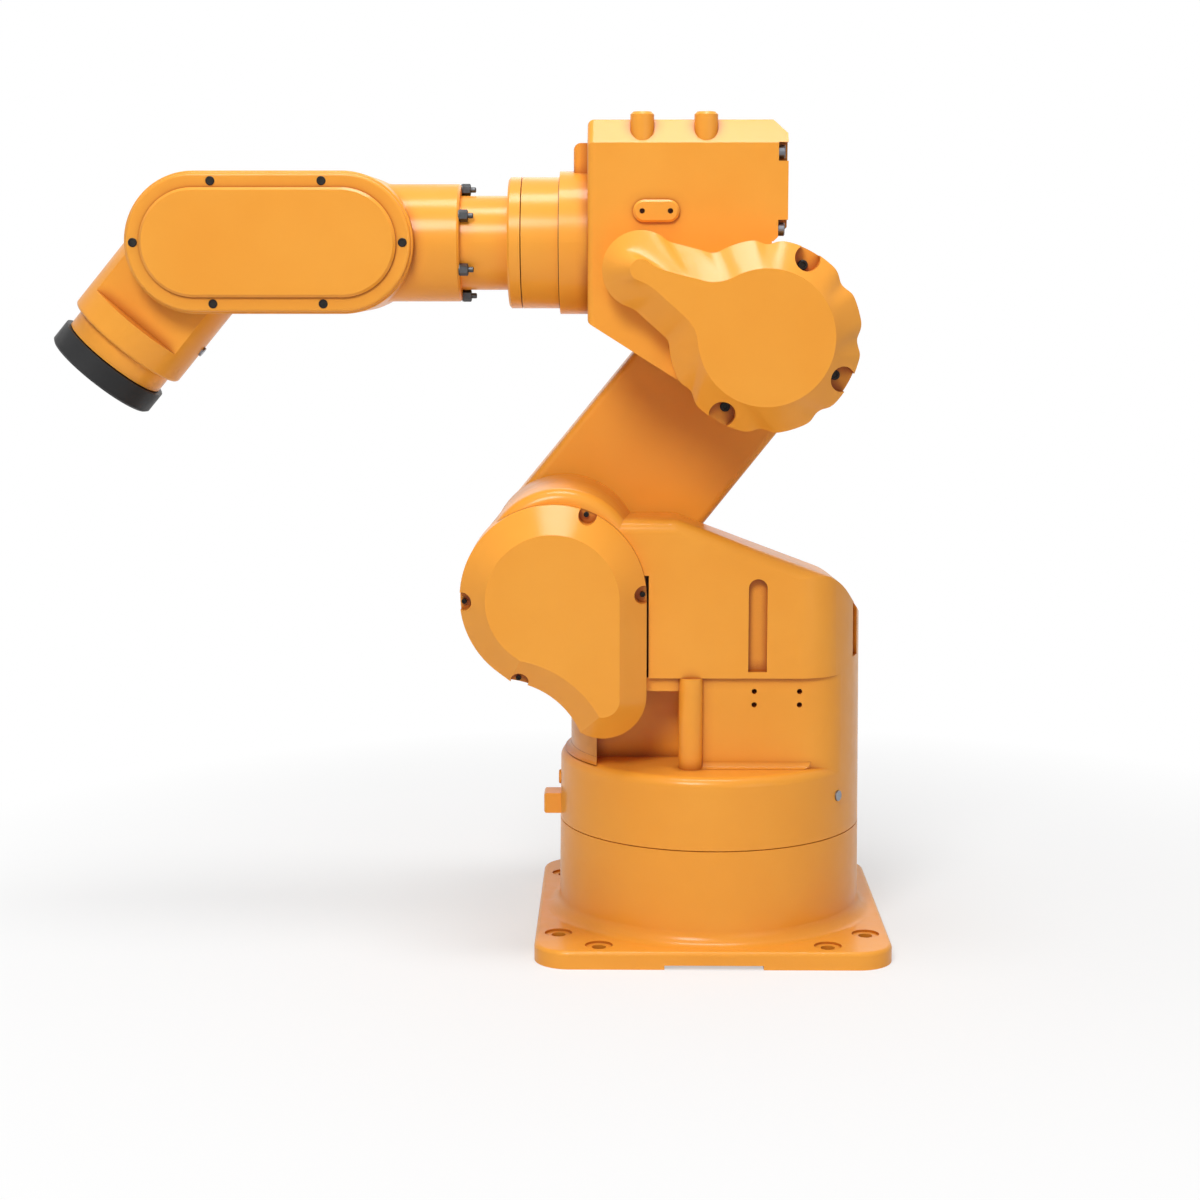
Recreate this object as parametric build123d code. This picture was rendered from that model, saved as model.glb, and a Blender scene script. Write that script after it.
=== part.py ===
from build123d import *
import math
import os

os.makedirs("parts", exist_ok=True)

# Frame: millimetres, origin on the turning axis at floor level, +X forward, +Z up, +Y the covered side.

# Axes of the arm at rest
SHOULDER_X = 150.0
SHOULDER_Z = 340.0
ARM_LENGTH = 310.0
ARM_LEAN = 39.0
ELBOW_RISE = 86.0
FOREARM_LENGTH = 530.0
TILT_DOWN = 50.0
ELBOW_X = SHOULDER_X - ARM_LENGTH * math.sin(math.radians(ARM_LEAN))
ELBOW_Z = SHOULDER_Z + ARM_LENGTH * math.cos(math.radians(ARM_LEAN))
ROLL_Z = ELBOW_Z + ELBOW_RISE
WRIST_X = ELBOW_X + FOREARM_LENGTH

# Clearances
RUNNING_GAP = 1.0
SPIGOT_GAP = 0.08
SEAT_GAP = 0.2

# Base casting
PLATE_SIDE = 336.0
PLATE_HALF = PLATE_SIDE / 2
PLATE_THICK = 17.0
PLATE_CORNER = 34.0
PLATE_ROUND = 4.0
PAD_RELIEF_WIDTH = 92.0
PAD_RELIEF_DEPTH = 4.0
BOLT_EDGE = 22.0
BOLT_CORNER = 61.0
BOLT_FAR = PLATE_HALF - BOLT_EDGE
BOLT_NEAR = PLATE_HALF - BOLT_CORNER
BOLT_HOLE_R = 6.75
SPOTFACE_R = 13.0
SPOTFACE_DEPTH = 2.0
DRUM_MARGIN = 21.2
SEAM_R = PLATE_HALF - DRUM_MARGIN
SEAM_Z = 106.5
DRAFT = 0.6
PEDESTAL_FILLET = 13.0
TURN_SPIGOT_R = 70.0
TURN_SPIGOT_LENGTH = 34.0

# Waist casting, heights measured from the seam or from the shoulder axis
LEDGE_RISE = 69.5
LEDGE_Z = SEAM_Z + LEDGE_RISE
LEDGE_ROUND = 9.0
LEDGE_SKIRT = 6.0
SKIRT_LIP = 0.3
COLUMN_STEP = 10.8
COLUMN_FRONT_R = SEAM_R - COLUMN_STEP
COLUMN_FLAT = 46.8
COLUMN_HALF_Y = SEAM_R - COLUMN_FLAT
COLUMN_ROUND = 45.0
COLUMN_FAR_DROP = 102.0
COLUMN_FAR_TOP = SHOULDER_Z - COLUMN_FAR_DROP
HOUSING_FAR_Y = -45.0
BLOCK_PROUD = 5.0
BLOCK_NEAR_Y = COLUMN_HALF_Y + BLOCK_PROUD
BLOCK_DROP = 77.0
BLOCK_LOW_Z = SHOULDER_Z - BLOCK_DROP
BLOCK_RISE = 72.5
BLOCK_TOP_Z = SHOULDER_Z + BLOCK_RISE
BLOCK_TOP_FALL = 10.0
BLOCK_KNEE_BACK = 116.0
BLOCK_KNEE_R = 18.0
BLOCK_BEND_BACK = 269.0
BLOCK_BEND_RISE = 15.0
BLOCK_BEND_R = 50.0
BLOCK_REAR_DROP = 25.0
BLOCK_ROUND = 12.0
HEAD_SUNK = 45.0
HEAD_NEAR_Y = BLOCK_NEAR_Y - HEAD_SUNK
HEAD_R = 84.0
HUMP_BACK = 7.0
HUMP_X = SHOULDER_X - HUMP_BACK
HUMP_RISE = 28.0
HUMP_R = 73.0
POCKET_REAR_X = 21.0
POCKET_FRONT_X = 110.0
POCKET_HEAD = 13.0
POCKET_FLOOR_Y = 48.0
RIB_X = 21.0
RIB_SUNK = 1.0
RIB_R = 11.5
SLOT_X = -41.0
SLOT_WIDTH = 17.5
SLOT_FOOT = 6.0
SLOT_HEIGHT = 88.0
SLOT_DEPTH = 8.0
REAR_SLOT_ANGLE = 162.0
REAR_SLOT_FOOT = 12.0
REAR_SLOT_HEIGHT = 52.0
REAR_SLOT_DEPTH = 5.0
SIDE_HOLE_X = -59.75
SIDE_HOLE_DROP = 19.6
SIDE_HOLE_SPAN_X = 42.5
SIDE_HOLE_SPAN_Z = 12.8
SIDE_HOLE_R = 2.5
SIDE_HOLE_DEPTH = 14.0

# Small pieces on the waist drum
STOP_DEPTH = 16.0
STOP_WIDTH = 26.0
STOP_RISE = 4.0
STOP_HEIGHT = 20.0
STOP_EDGE = 1.5
PLUG_ANGLE = 144.8
PLUG_RISE = 39.5
PLUG_R = 5.0
PLUG_DEPTH = 10.0
PLUG_PROUD = 1.5

# Shoulder cover
SHOULDER_COVER_R = 87.0
SHOULDER_LOBE_R = 41.0
SHOULDER_LOBE_BACK = SHOULDER_COVER_R - SHOULDER_LOBE_R
SHOULDER_LOBE_DOWN = 92.0
SHOULDER_HOLLOW_R = 82.0
SHOULDER_HOLLOW_FORWARD = 50.0
SHOULDER_HOLLOW_DOWN = 160.0
SHOULDER_SLIT = 2.0
SHOULDER_SLIT_RISE = 20.0
SHOULDER_WALL = 53.0
SHOULDER_BRIM_Y = HEAD_NEAR_Y + SHOULDER_WALL
SHOULDER_CROWN = 25.0
SHOULDER_FRONT_Y = SHOULDER_BRIM_Y + SHOULDER_CROWN
SHOULDER_BEVEL = 25.0
SHOULDER_NOTCH_R = 8.5
SHOULDER_NOTCH_INSET = 3.0
SHOULDER_NOTCH_DROP = 10.0
SHOULDER_NOTCH_ANGLES = (112.5, -2.0, 177.5, -68.0)

# Upper arm
REDUCER_GAP = 10.0
ARM_NEAR_Y = HOUSING_FAR_Y - REDUCER_GAP
ARM_THICK = 75.0
ARM_LOW_R = 82.0
ARM_HIGH_R = 80.0
ARM_ROUND = 8.0
SHOULDER_RING_R = 74.0
ELBOW_RING_R = 66.0
SHOULDER_SPIGOT_R = 42.0
ELBOW_SPIGOT_R = 38.0
SPIGOT_LENGTH = 34.0
CAP_THICK = 12.0
SHOULDER_CAP_R = 60.0
ELBOW_CAP_R = 56.0
CAP_CHAMFER = 4.0

# Elbow housing, measured from the elbow axis and from the roll axis
BOX_FORWARD = 163.6
BOX_FRONT_X = ELBOW_X + BOX_FORWARD
BOX_BACK = 6.9
BOX_REAR_X = ELBOW_X - BOX_BACK
BOX_RISE = 112.6
BOX_TOP_Z = ROLL_Z + BOX_RISE
BOX_STEP_RISE = 1.1
BOX_STEP_Z = ROLL_Z + BOX_STEP_RISE
BOX_HALF_Y = 75.0
BOX_TOP_CHAMFER = 22.0
BOX_FRONT_ROUND = 6.0
BOX_FRONT_FOOT = 12.1
BOX_UNDER_FORWARD = 82.1
BOX_UNDER_DROP = 39.4
ELBOW_HOUSING_R = 72.0
ROLL_BOSS_R = 67.5
ROLL_BOSS_LENGTH = 27.0
ROLL_BOSS_END_X = BOX_FRONT_X + ROLL_BOSS_LENGTH
LUG_REACH = 14.0
LUG_WIDTH = 36.0
LUG_HEIGHT = 38.0
LUG_DROP = 19.5
LUG_ROUND = 7.0
TOP_BOSS_R = 11.0
TOP_BOSS_BACK = 50.5
TOP_BOSS_SPAN = 59.0
TOP_BOSS_INSET = 13.0
TOP_BOSS_RISE = 6.5
TOP_BOSS_HEIGHT = 34.0
TOP_BOSS_EDGE = 2.5
TOP_BOSS_HOLE_R = 3.4
TOP_BOSS_HOLE_DEPTH = 16.0
PAD_BACK = 63.5
PAD_RISE = 28.6
PAD_LENGTH = 43.0
PAD_HEIGHT = 20.6
PAD_PROUD = 5.0
PAD_EDGE = 2.0
PAD_HOLE_SPAN = 26.0
PAD_HOLE_R = 2.5
PAD_HOLE_DEPTH = 12.0

# Elbow cover
ELBOW_COVER_R = 88.5
ELBOW_LOBE_R = 35.7
ELBOW_LOBE_FORWARD = 114.3
ELBOW_LOBE_UP = 61.2
BRIDGE_ROOT_HALF = 63.0
BRIDGE_TIP_HALF = 31.7
BRIDGE_ROUND = 12.0
ELBOW_BRIM_Y = 104.0
ELBOW_FRONT_Y = 130.0
ELBOW_BEVEL = 26.0
ELBOW_NOTCH_R = 12.0
ELBOW_NOTCH_INSET = 8.0
ELBOW_NOTCH_DROP = 14.0
ELBOW_NOTCH_ANGLES = (117.5, -151.7, -60.8)
DENT_DEPTH = 4.5
DENT_SPREAD = 10.0
DENT_ANGLES = (-36.0, -88.0, -126.0, -178.0, 145.5, 91.0)
COVER_SAMPLES = 96

# Rear cover of the elbow
REAR_COVER_THICK = 14.5
REAR_COVER_CHAMFER = 13.0
REAR_POCKET = 17.0
REAR_POCKET_DEPTH = 9.0
REAR_POCKET_FOOT = 11.0
REAR_POCKET_HEAD = 30.0

# Roll axis
RING_R = 62.0
FIXED_RING_LENGTH = 35.5
RING_SEAM_X = ROLL_BOSS_END_X + FIXED_RING_LENGTH
TURNING_RING_LENGTH = 13.0
RING_END_X = RING_SEAM_X + TURNING_RING_LENGTH
RING_EDGE = 2.0
ROLL_SPIGOT_R = 30.0
ROLL_SPIGOT_LENGTH = 30.0
NECK_R = 44.5
NECK_LENGTH = 45.5
NECK_END_X = RING_END_X + NECK_LENGTH

# Wrist body
WRIST_REAR_R = 55.5
WRIST_REAR_EDGE = 2.0
WRIST_FLARE = 40.0
WRIST_FLARE_SUNK = 1.0
CHEEK_R = 66.0
CHEEK_SPAN = 138.0
CHEEK_INNER_Y = 43.0
CHEEK_OUTER_Y = 64.0
CHEEK_EDGE = 2.0
THROAT_DEPTH = 106.0
WRIST_COVER_THICK = 5.0
WRIST_COVER_EDGE = 3.0
WRIST_RAISED_R = 50.5
WRIST_RAISED = 5.0
WRIST_RAISED_EDGE = 2.5
TRUNNION_R = 22.0
TRUNNION_LENGTH = 14.0

# Tilting body and tool flange, lengths measured from the tilt axis
TILT_R = 60.5
TILT_HALF_Y = 38.0
TILT_FULL_FROM = 97.0
TILT_END = 123.5
TILT_EDGE = 3.0
NECK_RING_R = 52.0
NECK_RING_END = 142.0
FLANGE_R = 56.5
FLANGE_END = 165.0
FLANGE_EDGE = 2.0
FLANGE_SPIGOT_R = 30.0
FLANGE_SPIGOT_LENGTH = 12.0
FLANGE_BORE_R = 25.0
FLANGE_BORE_DEPTH = 8.0
FLANGE_PCD = 80.0
FLANGE_HOLES = 6
FLANGE_HOLE_R = 3.4
FLANGE_HOLE_DEPTH = 14.0
TILT_PLUG_R = 5.0
TILT_PLUG_AT = 84.0
TILT_PLUG_DEPTH = 6.0
TILT_PLUG_PROUD = 2.0


def slab(sketch, y_low, y_high):
    """Extrudes an X-Z outline between two Y planes."""
    return extrude(Plane.XZ.offset(-y_high) * sketch, amount=y_high - y_low)


def disc_y(x, z, radius, y_low, y_high):
    return slab(Pos(x, z) * Circle(radius), y_low, y_high)


def disc_x(radius, x_low, x_high, z=ROLL_Z):
    return extrude(Plane.YZ.offset(x_low) * Pos(0, z) * Circle(radius), amount=x_high - x_low)


def post_z(x, y, radius, z_low, z_high):
    return extrude(Plane.XY.offset(z_low) * Pos(x, y) * Circle(radius), amount=z_high - z_low)


def block(x_low, x_high, y_low, y_high, z_low, z_high):
    middle = Pos((x_low + x_high) / 2, (z_low + z_high) / 2)
    return slab(middle * Rectangle(x_high - x_low, z_high - z_low), y_low, y_high)


def outline(points):
    return make_face(Polyline(*points, close=True))


def two_circles(xa, za, ra, xb, zb, rb):
    """Outline stretched round two circles."""
    edges = (Pos(xa, za) * Circle(ra)).edges() + (Pos(xb, zb) * Circle(rb)).edges()
    return make_hull(edges)


def bevelled(brim, front, y_low, y_brim, y_front):
    """Straight wall up to the brim, then a bevel up to the smaller front outline."""
    crown = loft([Plane.XZ.offset(-y_brim) * brim, Plane.XZ.offset(-y_front) * front], ruled=True)
    return slab(brim, y_low, y_brim) + crown


def drum_radius(z):
    """Radius of the drafted drum that the base and the waist share."""
    return SEAM_R + (SEAM_Z - z) * math.tan(math.radians(DRAFT))


def drum(z_low, z_high):
    low, high = drum_radius(z_low), drum_radius(z_high)
    return Pos(0, 0, z_low) * Cone(low, high, z_high - z_low, align=(Align.CENTER, Align.CENTER, Align.MIN))


def save(shape, node):
    export_step(shape, f"parts/{node}.step")


def make_base():
    plate = extrude(RectangleRounded(PLATE_SIDE, PLATE_SIDE, PLATE_CORNER), amount=PLATE_THICK)
    plate = fillet(plate.faces().sort_by(Axis.Z)[-1].edges(), PLATE_ROUND)
    body = plate + drum(PLATE_THICK, SEAM_Z)
    foot = body.edges().filter_by(GeomType.CIRCLE).group_by(SortBy.RADIUS)[-1]
    body = fillet(foot, PEDESTAL_FILLET)
    relief = PAD_RELIEF_WIDTH / 2
    body -= block(-relief, relief, -PLATE_HALF, PLATE_HALF, 0, PAD_RELIEF_DEPTH)
    body -= block(-PLATE_HALF, PLATE_HALF, -relief, relief, 0, PAD_RELIEF_DEPTH)
    for x, y in ((BOLT_FAR, BOLT_NEAR), (BOLT_NEAR, BOLT_FAR)):
        for sx in (-1, 1):
            for sy in (-1, 1):
                body -= post_z(sx * x, sy * y, BOLT_HOLE_R, 0, PLATE_THICK)
                body -= post_z(sx * x, sy * y, SPOTFACE_R, PLATE_THICK - SPOTFACE_DEPTH, SEAM_Z / 2)
    body -= post_z(0, 0, TURN_SPIGOT_R + SPIGOT_GAP, SEAM_Z - TURN_SPIGOT_LENGTH - RUNNING_GAP, SEAM_Z)
    return body


def make_ledge_skirt():
    """Hollow foot where the column rises from the ledge, ending in thin lips."""
    top = LEDGE_Z + LEDGE_SKIRT
    centre_z = top + SKIRT_LIP
    foot_r = COLUMN_FRONT_R + LEDGE_SKIRT
    front = post_z(0, 0, foot_r, LEDGE_Z, top) - Pos(0, 0, centre_z) * Torus(foot_r + SKIRT_LIP, LEDGE_SKIRT)
    front &= block(0, SEAM_R, -COLUMN_HALF_Y, COLUMN_HALF_Y, LEDGE_Z, top)
    reach = COLUMN_HALF_Y + LEDGE_SKIRT
    section = Pos(0, LEDGE_Z + LEDGE_SKIRT / 2) * Rectangle(2 * reach, LEDGE_SKIRT)
    for side in (-1, 1):
        section -= Pos(side * (reach + SKIRT_LIP), centre_z) * Circle(LEDGE_SKIRT)
    sides = extrude(Plane.YZ.offset(-SEAM_R) * section, amount=2 * SEAM_R)
    return front + (sides & post_z(0, 0, COLUMN_FRONT_R, LEDGE_Z, top))


def waist_foot(radius, half):
    """Round outline cut flat on both sides, its rear corners rounded off."""
    shape = Circle(radius) & Rectangle(2 * radius, 2 * half)
    return fillet(shape.vertices().group_by(Axis.X)[0], COLUMN_ROUND)


def make_rear(half, z_low, z_high):
    """Drafted rear half of the waist with flat sides."""
    low = Plane.XY.offset(z_low) * waist_foot(drum_radius(z_low), half)
    high = Plane.XY.offset(z_high) * waist_foot(drum_radius(z_high), half)
    return loft([low, high], ruled=True) & block(-SEAM_R, 0, -half, half, z_low, z_high)


def block_outline(fall):
    """Side outline of the motor housing, its top let down by the fall."""
    knee_x = SHOULDER_X - BLOCK_KNEE_BACK
    bend_x = SHOULDER_X - BLOCK_BEND_BACK
    top_z = BLOCK_TOP_Z - fall
    bend_z = SHOULDER_Z + BLOCK_BEND_RISE - fall
    rear_z = SHOULDER_Z - BLOCK_REAR_DROP - fall
    shape = outline(
        (
            (HUMP_X, top_z),
            (knee_x, top_z),
            (bend_x, bend_z),
            (-SEAM_R, rear_z),
            (-SEAM_R, BLOCK_LOW_Z),
            (HUMP_X, BLOCK_LOW_Z),
        )
    )
    shape = fillet(shape.vertices().sort_by_distance((knee_x, top_z))[0], BLOCK_KNEE_R)
    return fillet(shape.vertices().sort_by_distance((bend_x, bend_z))[0], BLOCK_BEND_R)


def make_block():
    """Motor housing behind the shoulder, its top falling to the rear and the far side, and the hump."""
    near = Plane.XZ.offset(-BLOCK_NEAR_Y) * block_outline(0)
    far = Plane.XZ.offset(-HOUSING_FAR_Y) * block_outline(BLOCK_TOP_FALL)
    body = loft([far, near], ruled=True)
    rim = body.faces().sort_by(Axis.Y)[-1].edges()
    kept = rim.sort_by(Axis.Z)[0], rim.sort_by(Axis.X)[-1], rim.sort_by(Axis.X)[0]
    body = fillet([e for e in rim if e not in kept], BLOCK_ROUND)
    front = block(0, HUMP_X, HOUSING_FAR_Y, BLOCK_NEAR_Y, BLOCK_LOW_Z, BLOCK_TOP_Z)
    body &= make_rear(BLOCK_NEAR_Y, BLOCK_LOW_Z, BLOCK_TOP_Z) + front
    hump = disc_y(HUMP_X, SHOULDER_Z + HUMP_RISE, HUMP_R, HOUSING_FAR_Y, BLOCK_NEAR_Y)
    return body + fillet(hump.faces().sort_by(Axis.Y)[-1].edges(), BLOCK_ROUND)


def make_slots():
    """Two casting grooves in the side and on the rear flank of the block."""
    low = BLOCK_LOW_Z + SLOT_FOOT
    high = low + SLOT_HEIGHT - SLOT_WIDTH / 2
    half = SLOT_WIDTH / 2
    side_floor = BLOCK_NEAR_Y - SLOT_DEPTH
    side = block(SLOT_X - half, SLOT_X + half, side_floor, SEAM_R, low, high)
    side += disc_y(SLOT_X, high, half, side_floor, SEAM_R)
    rear_low = BLOCK_LOW_Z + REAR_SLOT_FOOT
    rear_high = rear_low + REAR_SLOT_HEIGHT
    floor = drum_radius(rear_low) - REAR_SLOT_DEPTH
    rear = block(floor, SEAM_R, -half, half, rear_low, rear_high)
    return side + Rot(0, 0, REAR_SLOT_ANGLE) * rear


def make_waist():
    low = SEAM_Z + RUNNING_GAP
    table = drum(low, LEDGE_Z)
    table = fillet(table.edges().sort_by(Axis.Z)[-1], LEDGE_ROUND)
    front = post_z(0, 0, COLUMN_FRONT_R, low, BLOCK_LOW_Z)
    front &= block(0, SEAM_R, -COLUMN_HALF_Y, COLUMN_HALF_Y, low, BLOCK_LOW_Z)
    column = make_rear(COLUMN_HALF_Y, low, BLOCK_LOW_Z) + front
    column -= block(-SEAM_R, SEAM_R, -COLUMN_HALF_Y, HOUSING_FAR_Y, COLUMN_FAR_TOP, BLOCK_LOW_Z)
    rib = post_z(RIB_X, COLUMN_HALF_Y - RIB_SUNK, RIB_R, LEDGE_Z - LEDGE_ROUND, BLOCK_LOW_Z)
    head = disc_y(SHOULDER_X, SHOULDER_Z, HEAD_R, HOUSING_FAR_Y, HEAD_NEAR_Y)
    body = table + column + make_ledge_skirt() + make_block() + head
    pocket_top = BLOCK_LOW_Z - POCKET_HEAD
    body -= block(POCKET_REAR_X, POCKET_FRONT_X, POCKET_FLOOR_Y, SEAM_R, LEDGE_Z, pocket_top)
    body += rib
    body -= slab(shoulder_cover_outline(-SEAT_GAP), HEAD_NEAR_Y, SHOULDER_FRONT_Y)
    slit_x = SHOULDER_X - SHOULDER_COVER_R - SHOULDER_SLIT
    slit_top = SHOULDER_Z + SHOULDER_SLIT_RISE
    body -= block(slit_x, SHOULDER_X, HEAD_NEAR_Y, SHOULDER_FRONT_Y, BLOCK_LOW_Z, slit_top)
    body -= make_slots()
    for sx in (-1, 1):
        for sz in (-1, 1):
            x = SIDE_HOLE_X + sx * SIDE_HOLE_SPAN_X / 2
            z = BLOCK_LOW_Z - SIDE_HOLE_DROP + sz * SIDE_HOLE_SPAN_Z / 2
            body -= disc_y(x, z, SIDE_HOLE_R, COLUMN_HALF_Y - SIDE_HOLE_DEPTH, COLUMN_HALF_Y)
    bore_end = HOUSING_FAR_Y + SPIGOT_LENGTH
    body -= disc_y(SHOULDER_X, SHOULDER_Z, SHOULDER_SPIGOT_R + SPIGOT_GAP, HOUSING_FAR_Y, bore_end)
    body += post_z(0, 0, TURN_SPIGOT_R, SEAM_Z - TURN_SPIGOT_LENGTH, low)
    body -= plug_tool(SEAT_GAP, PLUG_DEPTH)
    return body


def plug_frame():
    """Plane on the drum where the grey plug sits, its normal pointing out of the drum."""
    z = SEAM_Z + PLUG_RISE
    x = drum_radius(z) * math.cos(math.radians(PLUG_ANGLE))
    y = drum_radius(z) * math.sin(math.radians(PLUG_ANGLE))
    return Plane(origin=(x, y, z), z_dir=(x, y, 0))


def plug_tool(gap, depth):
    frame = plug_frame()
    return extrude(frame.offset(-depth) * Circle(PLUG_R + gap), amount=depth + PLUG_DEPTH)


def make_plug():
    frame = plug_frame()
    return extrude(frame.offset(-PLUG_DEPTH) * Circle(PLUG_R), amount=PLUG_DEPTH + PLUG_PROUD)


def make_stop():
    low = SEAM_Z + STOP_RISE
    radius = drum_radius(low)
    half = STOP_WIDTH / 2
    body = block(radius - STOP_DEPTH, radius + STOP_DEPTH, -half, half, low, low + STOP_HEIGHT)
    body = chamfer(body.faces().sort_by(Axis.X)[-1].edges(), STOP_EDGE)
    return body - drum(SEAM_Z, LEDGE_Z)


def shoulder_cover_outline(inset):
    """Outline round two circles, hollowed between them in front."""
    shape = two_circles(
        SHOULDER_X,
        SHOULDER_Z,
        SHOULDER_COVER_R - inset,
        SHOULDER_X - SHOULDER_LOBE_BACK,
        SHOULDER_Z - SHOULDER_LOBE_DOWN,
        SHOULDER_LOBE_R - inset,
    )
    hollow = Circle(SHOULDER_HOLLOW_R + inset)
    return shape - Pos(SHOULDER_X + SHOULDER_HOLLOW_FORWARD, SHOULDER_Z - SHOULDER_HOLLOW_DOWN) * hollow


def make_shoulder_cover():
    brim, front = shoulder_cover_outline(0), shoulder_cover_outline(SHOULDER_BEVEL)
    body = bevelled(brim, front, HEAD_NEAR_Y, SHOULDER_BRIM_Y, SHOULDER_FRONT_Y)
    away = SHOULDER_COVER_R - SHOULDER_NOTCH_INSET
    floor = SHOULDER_BRIM_Y - SHOULDER_NOTCH_DROP
    for angle in SHOULDER_NOTCH_ANGLES:
        x = SHOULDER_X + away * math.cos(math.radians(angle))
        z = SHOULDER_Z + away * math.sin(math.radians(angle))
        body -= disc_y(x, z, SHOULDER_NOTCH_R, floor, SHOULDER_FRONT_Y)
    return body


def make_arm():
    shape = two_circles(SHOULDER_X, SHOULDER_Z, ARM_LOW_R, ELBOW_X, ELBOW_Z, ARM_HIGH_R)
    body = slab(shape, ARM_NEAR_Y - ARM_THICK, ARM_NEAR_Y)
    rims = body.faces().sort_by(Axis.Y)
    body = fillet(rims[0].edges() + rims[-1].edges(), ARM_ROUND)
    reach = HOUSING_FAR_Y + SPIGOT_LENGTH - RUNNING_GAP
    body += disc_y(SHOULDER_X, SHOULDER_Z, SHOULDER_SPIGOT_R, ARM_NEAR_Y, reach)
    body += disc_y(ELBOW_X, ELBOW_Z, ELBOW_SPIGOT_R, ARM_NEAR_Y, reach)
    return body


def make_ring(x, z, radius, bore):
    """Fixed reducer ring between a housing and the arm, open for the arm's spigot."""
    low = ARM_NEAR_Y + RUNNING_GAP
    return disc_y(x, z, radius, low, HOUSING_FAR_Y) - disc_y(x, z, bore + SPIGOT_GAP, low, HOUSING_FAR_Y)


def make_cap(x, z, radius):
    back = ARM_NEAR_Y - ARM_THICK
    body = disc_y(x, z, radius, back - CAP_THICK, back)
    return chamfer(body.faces().sort_by(Axis.Y)[0].edges(), CAP_CHAMFER)


def make_elbow_housing():
    shape = outline(
        (
            (BOX_FRONT_X, BOX_TOP_Z - BOX_TOP_CHAMFER),
            (BOX_FRONT_X, ELBOW_Z + BOX_FRONT_FOOT),
            (ELBOW_X + BOX_UNDER_FORWARD, ELBOW_Z - BOX_UNDER_DROP),
            (ELBOW_X, ELBOW_Z - ELBOW_HOUSING_R),
            (BOX_REAR_X, BOX_STEP_Z),
            (BOX_REAR_X, BOX_TOP_Z - BOX_TOP_CHAMFER),
        )
    )
    lower = slab(shape + Pos(ELBOW_X, ELBOW_Z) * Circle(ELBOW_HOUSING_R), HOUSING_FAR_Y, BOX_HALF_Y)
    upper = block(BOX_REAR_X, BOX_FRONT_X, -BOX_HALF_Y, BOX_HALF_Y, BOX_STEP_Z, BOX_TOP_Z)
    upper = chamfer(upper.edges().filter_by(Axis.X).group_by(Axis.Z)[-1], BOX_TOP_CHAMFER)
    body = lower + upper
    body = fillet(body.faces().sort_by(Axis.X)[-1].edges(), BOX_FRONT_ROUND)
    body += disc_x(ROLL_BOSS_R, BOX_FRONT_X - LUG_REACH, ROLL_BOSS_END_X)
    lug_top = BOX_TOP_Z - LUG_DROP
    lug = block(
        BOX_FRONT_X - LUG_REACH,
        BOX_FRONT_X + LUG_REACH,
        -LUG_WIDTH / 2,
        LUG_WIDTH / 2,
        lug_top - LUG_HEIGHT,
        lug_top,
    )
    body += fillet(lug.faces().sort_by(Axis.X)[-1].edges(), LUG_ROUND)
    front_boss = BOX_FRONT_X - TOP_BOSS_BACK
    for x in (front_boss, front_boss - TOP_BOSS_SPAN):
        for side in (-1, 1):
            y = side * (BOX_HALF_Y - TOP_BOSS_INSET)
            top = BOX_TOP_Z + TOP_BOSS_RISE
            boss = post_z(x, y, TOP_BOSS_R, top - TOP_BOSS_HEIGHT, top)
            body += chamfer(boss.faces().sort_by(Axis.Z)[-1].edges(), TOP_BOSS_EDGE)
            body -= post_z(x, y, TOP_BOSS_HOLE_R, top - TOP_BOSS_HOLE_DEPTH, top)
    pad_x = BOX_FRONT_X - PAD_BACK
    pad_z = ROLL_Z + PAD_RISE
    pad_face = BOX_HALF_Y + PAD_PROUD
    pad = slab(Pos(pad_x, pad_z) * SlotOverall(PAD_LENGTH, PAD_HEIGHT), BOX_HALF_Y - PAD_PROUD, pad_face)
    body += chamfer(pad.faces().sort_by(Axis.Y)[-1].edges(), PAD_EDGE)
    for side in (-1, 1):
        x = pad_x + side * PAD_HOLE_SPAN / 2
        body -= disc_y(x, pad_z, PAD_HOLE_R, pad_face - PAD_HOLE_DEPTH, pad_face)
    bore_end = HOUSING_FAR_Y + SPIGOT_LENGTH
    body -= disc_y(ELBOW_X, ELBOW_Z, ELBOW_SPIGOT_R + SPIGOT_GAP, HOUSING_FAR_Y, bore_end)
    return body


def elbow_cover_plan():
    """Big round round the elbow axis, small one further forward and a tapering bridge between them."""
    lobe_x = ELBOW_X + ELBOW_LOBE_FORWARD
    lobe_z = ELBOW_Z + ELBOW_LOBE_UP
    length = math.hypot(ELBOW_LOBE_FORWARD, ELBOW_LOBE_UP)
    across_x = -ELBOW_LOBE_UP / length
    across_z = ELBOW_LOBE_FORWARD / length
    root, tip = BRIDGE_ROOT_HALF, BRIDGE_TIP_HALF
    bridge = outline(
        (
            (ELBOW_X + across_x * root, ELBOW_Z + across_z * root),
            (lobe_x + across_x * tip, lobe_z + across_z * tip),
            (lobe_x - across_x * tip, lobe_z - across_z * tip),
            (ELBOW_X - across_x * root, ELBOW_Z - across_z * root),
        )
    )
    big = Pos(ELBOW_X, ELBOW_Z) * Circle(ELBOW_COVER_R)
    shape = big + Pos(lobe_x, lobe_z) * Circle(ELBOW_LOBE_R) + bridge
    corners = shape.vertices().sort_by_distance(((ELBOW_X + lobe_x) / 2, (ELBOW_Z + lobe_z) / 2))
    return fillet(corners[:2], BRIDGE_ROUND)


def dent_at(x, z):
    """How far the brim is pressed in at this point of the outline."""
    angle = math.degrees(math.atan2(z - ELBOW_Z, x - ELBOW_X))
    depth = 0.0
    for centre in DENT_ANGLES:
        away = abs((angle - centre + 180) % 360 - 180) / DENT_SPREAD
        if away < 1:
            depth += DENT_DEPTH * math.cos(math.pi / 2 * away) ** 2
    return depth


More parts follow.
